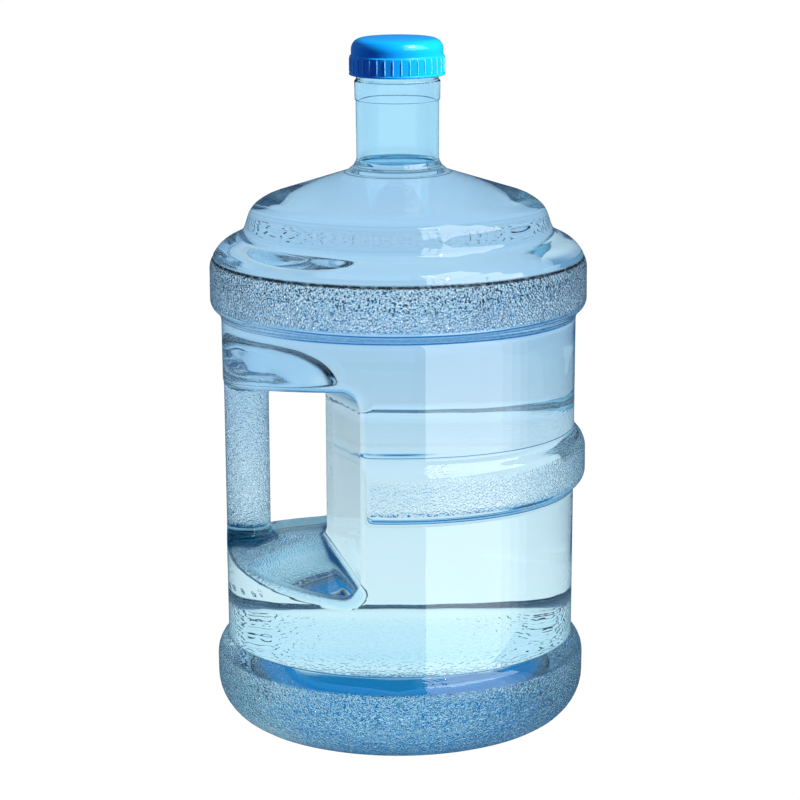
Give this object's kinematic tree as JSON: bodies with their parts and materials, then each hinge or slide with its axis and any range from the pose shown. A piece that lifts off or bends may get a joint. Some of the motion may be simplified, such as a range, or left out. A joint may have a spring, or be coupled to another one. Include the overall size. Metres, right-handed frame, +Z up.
{
  "type": "large water jug",
  "caption": "Clear blue polycarbonate water jug with a moulded-in side grip and a long neck closed by a ribbed screw cap.",
  "frame": {"origin": "centre of the base, on the surface that the jug stands on", "axes": "+Z up along the jug's axis, from the base to the cap; the moulded grip is on the -X side"},
  "size_m": [0.2696, 0.2696, 0.496],
  "materials": {
    "clear_blue_polycarbonate": "clear, tinted pale blue, glossy with fine stippled zones",
    "blue_cap_plastic": "glossy azure polyethylene",
    "white_seal_rubber": "soft white silicone rubber"
  },
  "bodies": {
    "jug": {"jug_body": "clear_blue_polycarbonate"},
    "seal": {"cap_seal": "white_seal_rubber"},
    "cap": {"screw_cap": "blue_cap_plastic"}
  },
  "joints": [
    {"name": "cap_rise", "type": "slide", "parent": "jug", "child": "seal", "axis": [0, 0, 1], "range_m": [0, 0.03]},
    {"name": "cap_turn", "type": "hinge", "parent": "seal", "child": "cap", "pos_m": [0, 0, 0.48], "axis": [0, 0, 1], "range_deg": [0, 1800]}
  ],
  "couplings": [
    {"joint": "cap_rise", "follows": "cap_turn", "m_per_rad": 0.00095493}
  ]
}
